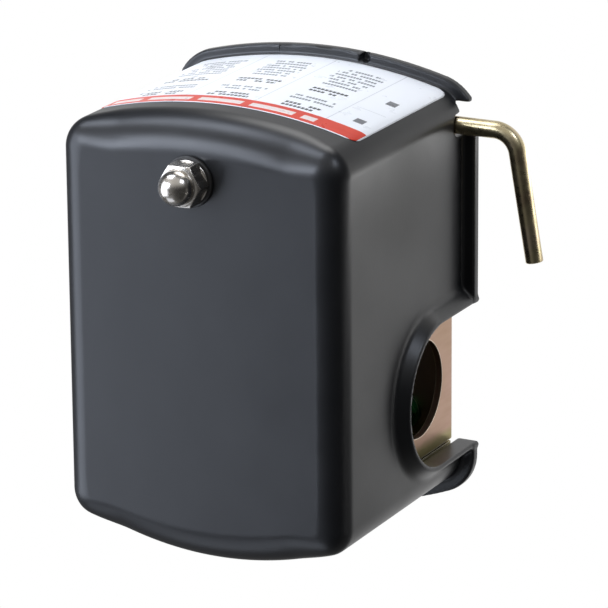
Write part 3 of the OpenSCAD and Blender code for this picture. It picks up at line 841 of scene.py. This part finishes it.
def bend_points(a, corner, b, radius, count):
    """Points along an arc that rounds a corner between two straight runs."""
    a, corner, b = (np.asarray(v, float) for v in (a, corner, b))
    u = (a - corner) / np.linalg.norm(a - corner)
    v = (b - corner) / np.linalg.norm(b - corner)
    half = math.acos(float(np.clip(u @ v, -1, 1))) / 2
    reach = radius / math.tan(half)
    centre = corner + (u + v) / np.linalg.norm(u + v) * (radius / math.sin(half))
    start, end = corner + u * reach - centre, corner + v * reach - centre
    sweep_angle = math.pi - 2 * half
    points = []
    for t in np.linspace(0, 1, count):
        from_start, from_end = math.sin((1 - t) * sweep_angle), math.sin(t * sweep_angle)
        points.append(centre + (from_start * start + from_end * end) / math.sin(sweep_angle))
    return points


def straight(a, b, spacing=1.5):
    """Evenly spaced points between two points, without its ends."""
    a, b = np.asarray(a, float), np.asarray(b, float)
    count = max(2, int(np.linalg.norm(b - a) / spacing))
    return [a + (b - a) * t for t in np.linspace(0, 1, count + 1)[1:-1]]


def lever_path():
    """The lever's centre line from its inner crank end to the end of its outer arm."""
    splay, crank = math.radians(ARM_SPLAY), math.radians(CRANK_ANGLE)
    outer = np.array([CORNER_X, ROD_Y, ROD_Z])
    inner = np.array([CRANK_X, ROD_Y, ROD_Z])
    tip = outer + ARM_LEN * np.array([-math.sin(splay), math.cos(splay), 0])
    end = inner + CRANK_LEN * np.array([0, math.cos(crank), math.sin(crank)])
    first = bend_points(end, inner, outer, CRANK_BEND, 14)
    second = bend_points(inner, outer, tip, OUTER_BEND, 22)
    path = [end] + straight(end, first[0]) + first + straight(first[-1], second[0]) + second
    return path + straight(second[-1], tip) + [tip]


path, radii = rounded_ends(lever_path(), ROD_R, 0.3)
lever = sweep("lever_rod", path, radii, 48)
finish_piece(lever, "zinc_yellow", "lever", "cutoff_lever")

# ---------- springs ----------


def coil_path(height, mean_r, wire, turns, steps=30):
    """Centre line of a compression spring standing on z = 0, with one closed turn at each end."""
    u = np.linspace(0, turns, int(turns * steps) + 1)
    closed = np.minimum(u, 1) + np.maximum(u - turns + 1, 0)
    active = np.clip((u - 1) / (turns - 2), 0, 1)
    rise = height - wire
    z = wire / 2 + wire * closed + (rise - 2 * wire) * active
    angle = 2 * math.pi * u
    return np.stack([mean_r * np.cos(angle), mean_r * np.sin(angle), z], 1)


def spring_piece(name, node, wire_path, wire):
    """A spring, or part of one, drawn as one smooth wire in place of a CAD node."""
    obj = sweep(name, wire_path, wire / 2, 14)
    dress(obj, "spring_steel")
    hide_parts(node)
    return obj


def upright_spring(name, node, body, x, y, mean_r, wire, turns):
    """A spring from the actuator plate up to another body, drawn in two halves that meet at the coil's
    middle point.
    """
    lo, hi = box_mm(node)
    wire_path = coil_path(hi[2] - lo[2], mean_r, wire, turns) + np.array((x, y, lo[2]))
    half = len(wire_path) // 2
    foot, middle, top = (np.array((x, y, z)) * MM for z in (lo[2], wire_path[half][2], hi[2]))
    lower = spring_piece(name + "_lower", node, wire_path[: half + 1], wire)
    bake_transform(lower)
    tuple(middle)
    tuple(foot)
    upper = spring_piece(name + "_upper", node, wire_path[half:], wire)
    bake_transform(upper)
    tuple(middle)
    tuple(top)


SHORT_STUD_XY = (0.0, -14.8)
TOGGLE_XY = (0.0, -5.0)
for name, node, body, centre, mean_r, wire, turns in (
    ("range_coil", "range_spring", "range_follower", STUD_XY, 8.6, 2.4, 7),
    ("differential_coil", "differential_spring", "differential_follower", SHORT_STUD_XY, 3.8, 1.0, 9),
    ("toggle_coil", "toggle_spring", "carrier", TOGGLE_XY, 2.3, 0.8, 6),
):
    upright_spring(name, node, body, *centre, mean_r, wire, turns)

CONTACT_X, CONTACT_Z = 12.5, 35.0
CONTACT_COIL_R, CONTACT_WIRE, CONTACT_TURNS = 1.5, 0.44, 4
contact_lo, contact_hi = box_mm("contact_springs")
for name, x in (("contact_coil_left", -CONTACT_X), ("contact_coil_right", CONTACT_X)):
    standing = coil_path(contact_hi[1] - contact_lo[1], CONTACT_COIL_R, CONTACT_WIRE, CONTACT_TURNS)
    lying = np.stack([x + standing[:, 0], contact_lo[1] + standing[:, 2], CONTACT_Z - standing[:, 1]], 1)
    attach(spring_piece(name, "contact_springs", lying, CONTACT_WIRE), "carrier")

# ---------- threads ----------

FINE_PITCH, THREAD_DEPTH = 0.794, 0.34
SHEET_T, SHOULDER_H, FOOT_H = 1.6, 2.6, 1.2
PORT_R, PORT_DEPTH, PORT_PITCH = 5.7, 14.0, 1.411
BASE_Z = box_mm("frame")[0][2]


def stud_field(x, y, z, centre, r, shoulder_r, foot_r, top):
    """Distance from a stud with a thread above its shoulder and a riveted foot under the frame sheet."""
    x, y = x - centre[0], y - centre[1]
    radius = np.hypot(x, y)
    turn = z / FINE_PITCH - np.arctan2(y, x) / (2 * math.pi)
    groove = THREAD_DEPTH * np.abs(2 * (turn - np.floor(turn)) - 1)
    shoulder_z = BASE_Z + SHEET_T + SHOULDER_H
    cut = smooth((z - shoulder_z - 1) / 0.8)
    rod = 0.75 * np.maximum(radius - r + groove * cut, (radius - r + 0.6 + z - top) / 1.41)
    rod = np.maximum(rod, slab(z, BASE_Z - FOOT_H, top))
    shoulder = blend_max(radius - shoulder_r, slab(z, BASE_Z + SHEET_T, shoulder_z), 0.3)
    foot = blend_max(radius - foot_r, slab(z, BASE_Z - FOOT_H, BASE_Z), 0.3)
    return np.minimum(np.minimum(rod, shoulder), foot)


def stud_piece(name, node, centre, r, shoulder_r, foot_r):
    """A threaded stud in place of a CAD node."""
    lo, hi = box_mm(node)

    def field(x, y, z):
        return stud_field(x, y, z, centre, r, shoulder_r, foot_r, hi[2])

    step = 0.18
    stud = solid_piece(name, field, lo - 0.6, hi + 0.6, step, 170000)
    finish_piece(stud, "zinc_plain", "housing", node)


def port_thread():
    """The ridge of the port's internal thread, thinning out at both ends."""
    turns = np.linspace(0, (PORT_DEPTH - 1.2) / PORT_PITCH, 320)
    angle = 2 * math.pi * turns
    r = PORT_R + 0.12
    ridge = np.stack([r * np.cos(angle), r * np.sin(angle), 0.6 + PORT_PITCH * turns], 1)
    thickness = 0.5 * np.minimum(1, np.minimum(turns, turns[::-1]) * 2 + 0.05)
    obj = sweep("port_thread", ridge, thickness, 10)
    dress(obj, "zinc_plain")
    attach(obj, "housing")


stud_piece("range_stud_threaded", "range_stud", STUD_XY, 2.4, 3.8, 3.5)
stud_piece("differential_stud_threaded", "differential_stud", SHORT_STUD_XY, 2.05, 2.9, 2.0)
port_thread()

# ---------- CAD nodes that keep their own shape ----------

EDGE_WIDTH, EDGE_ANGLE, WELD_REACH = 0.15, 35, 0.002


def carry_over(node, slot):
    """Keeps a CAD node, rounds its sharp edges and gives it its finish."""
    obj = NODES[node]
    obj.data.materials.clear()
    obj.data.materials.append(MATERIALS[slot])
    weld = obj.modifiers.new("weld", "WELD")
    weld.merge_threshold = WELD_REACH * MM
    edge = obj.modifiers.new("edge", "BEVEL")
    edge.width = EDGE_WIDTH * MM
    edge.segments = 2
    edge.limit_method = "ANGLE"
    edge.angle_limit = math.radians(EDGE_ANGLE)
    obj.modifiers.new("normals", "WEIGHTED_NORMAL").keep_sharp = False


for part in frame["record"]["subparts"]:
    if not NODES[part["node"]].hide_render:
        carry_over(part["node"], part["material_slot"])

# ---------- floor, lights and camera ----------


def plane(name, half, z):
    """A flat square centred on the origin."""
    points = [(-half, -half, z), (half, -half, z), (half, half, z), (-half, half, z)]
    return new_object(name, points, [(0, 1, 2, 3)])


def seen_or_lit(tree, seen, lit):
    """Background or emission strength: one value in the picture, another for the light it gives."""
    path = tree.nodes.new("ShaderNodeLightPath")
    mix = tree.nodes.new("ShaderNodeMix")
    tree.links.new(path.outputs["Is Camera Ray"], mix.inputs["Factor"])
    mix.inputs["B"].default_value = seen
    tree.links.new(lit, mix.inputs["A"])
    return mix.outputs["Result"]


def pool(f, centre, inner, outer, strength):
    """A round pool of light on the floor."""
    reach = f.node("ShaderNodeVectorMath", operation="DISTANCE")
    f.join(f.place, reach.inputs[0])
    reach.inputs[1].default_value = (*centre, 0)
    return f.between(reach.outputs["Value"], inner, outer, strength, 0.0)


# Each pool has a centre, the radii between which it fades, in metres, and a strength.
POOL_UNDER = ((0, 0), 0.085, 0.140, 0.80)
POOL_AHEAD = ((0.005, -0.165), 0.025, 0.070, 5.0)
FLOOR_DIM, FRONT_SHARE = 0.14, 0.55
# The strip lies along y = -STRIP_SLOPE * x - STRIP_OFFSET, to the left of the object.
STRIP_SLOPE, STRIP_OFFSET, STRIP_LIGHT = 0.46, 0.0491, 3.8


def floor_light(f):
    """What the floor gives off: a pool round the object, a brighter one ahead and a slanted strip."""
    x, y, _ = f.axes()
    under = f.math("ADD", pool(f, *POOL_UNDER), FLOOR_DIM)
    under = f.math("MULTIPLY", under, f.between(y, -0.075, -0.045, FRONT_SHARE, 1.0))
    total = f.math("ADD", under, pool(f, *POOL_AHEAD))
    slant = f.math("ADD", f.math("MULTIPLY", x, STRIP_SLOPE), f.math("ADD", y, STRIP_OFFSET))
    strip = f.between(f.math("ABSOLUTE", slant), 0.0015, 0.0080, STRIP_LIGHT, 0.0)
    strip = f.math("MULTIPLY", strip, f.between(x, -0.055, -0.047, 1.0, 0.0))
    return f.math("ADD", total, strip)


def floor_finish():
    """A plain pale floor, white in the picture and clear from below."""
    f = Finish("floor_pale")
    f.tree.nodes.remove(f.shader)
    glow = f.node("ShaderNodeEmission")
    f.join(seen_or_lit(f.tree, 1.0, floor_light(f)), glow.inputs["Strength"])
    sides = f.node("ShaderNodeMixShader")
    f.join(f.node("ShaderNodeNewGeometry").outputs["Backfacing"], sides.inputs["Fac"])
    f.join(glow.outputs["Emission"], sides.inputs[1])
    f.join(f.node("ShaderNodeBsdfTransparent").outputs["BSDF"], sides.inputs[2])
    output = next(n for n in f.tree.nodes if n.type == "OUTPUT_MATERIAL")
    f.join(sides.outputs["Shader"], output.inputs["Surface"])
    return f.material


FLOOR_HALF, FLOOR_GAP = 3000, 0.05
floor = plane("studio_floor", FLOOR_HALF, cad_lo[2] / MM - FLOOR_GAP)
floor.data.materials.append(floor_finish())

COOL = (0.86, 0.94, 1.10)
# Each softbox has a place, a width and a height in metres, and a radiance.
SOFTBOXES = {
    "panel_over": ((0.66, 0.02, 0.55), 0.70, 1.0, 3.2),
    "panel_front_high": ((0.40, -0.36, 0.71), 0.33, 0.33, 7.5),
    "panel_front_low": ((0.34, -0.72, 0.03), 0.42, 0.40, 6.5),
    "panel_left": ((-0.54, -0.64, 0.10), 0.20, 0.26, 6.5),
    "panel_rear": ((0.30, 0.85, 0.45), 0.6, 0.5, 1.0),
}


def softbox(name, place, aim, width, height, radiance):
    """A soft panel of a given brightness, pointed at a place."""
    data = bpy.data.lights.new(name, "AREA")
    data.shape = "RECTANGLE"
    data.size, data.size_y = width, height
    data.energy = radiance * math.pi * width * height
    data.color = COOL
    obj = bpy.data.objects.new(name, data)
    bpy.context.scene.collection.objects.link(obj)
    obj.location = place
    obj.rotation_euler = (Vector(aim) - Vector(place)).to_track_quat("-Z", "Z").to_euler()


centre = (Vector(cad_lo) + Vector(cad_hi)) / 2
for panel, (place, width, height, radiance) in SOFTBOXES.items():
    softbox(panel, place, centre, width, height, radiance)

# Axis of a direction, its start and end on that axis, and the strength at each.
WORLD_RAMPS = (("X", -0.5, 0.1, 0.04, 0.16), ("Y", -0.70, -0.25, 0.50, 0.0))


def studio_world():
    """White in the picture. As a light it is dim, stronger from +X and strongest from the front."""
    world = bpy.data.worlds.new("studio")
    world.use_nodes = True
    tree = world.node_tree
    split = tree.nodes.new("ShaderNodeSeparateXYZ")
    tree.links.new(tree.nodes.new("ShaderNodeTexCoord").outputs["Generated"], split.inputs["Vector"])
    total = tree.nodes.new("ShaderNodeMath")
    for place, (axis, *numbers) in enumerate(WORLD_RAMPS):
        ramp = tree.nodes.new("ShaderNodeMapRange")
        tree.links.new(split.outputs[axis], ramp.inputs["Value"])
        for key, number in zip(("From Min", "From Max", "To Min", "To Max"), numbers):
            ramp.inputs[key].default_value = number
        tree.links.new(ramp.outputs["Result"], total.inputs[place])
    background = tree.nodes["Background"]
    background.inputs["Color"].default_value = (1, 1, 1, 1)
    tree.links.new(seen_or_lit(tree, 1.0, total.outputs["Value"]), background.inputs["Strength"])
    return world


bpy.context.scene.world = studio_world()
bpy.context.scene.view_settings.view_transform = "Standard"

CAMERA_PLACE = (-0.425701, -0.278121, 0.843385)
CAMERA_TURN = (-17.8115, 27.4534, 179.5076)
LENS_MM, SENSOR_MM = 254.924, 36
SHIFT_X, SHIFT_Y = -0.00595, 0.01500

lens = bpy.data.cameras.new("camera")
lens.sensor_width = SENSOR_MM
lens.lens = LENS_MM
lens.shift_x, lens.shift_y = SHIFT_X, SHIFT_Y
lens.clip_start, lens.clip_end = 0.05, 20
camera = bpy.data.objects.new("camera", lens)
bpy.context.scene.collection.objects.link(camera)
camera.location = CAMERA_PLACE
camera.rotation_euler = Euler([math.radians(a) for a in CAMERA_TURN])
bpy.context.scene.camera = camera
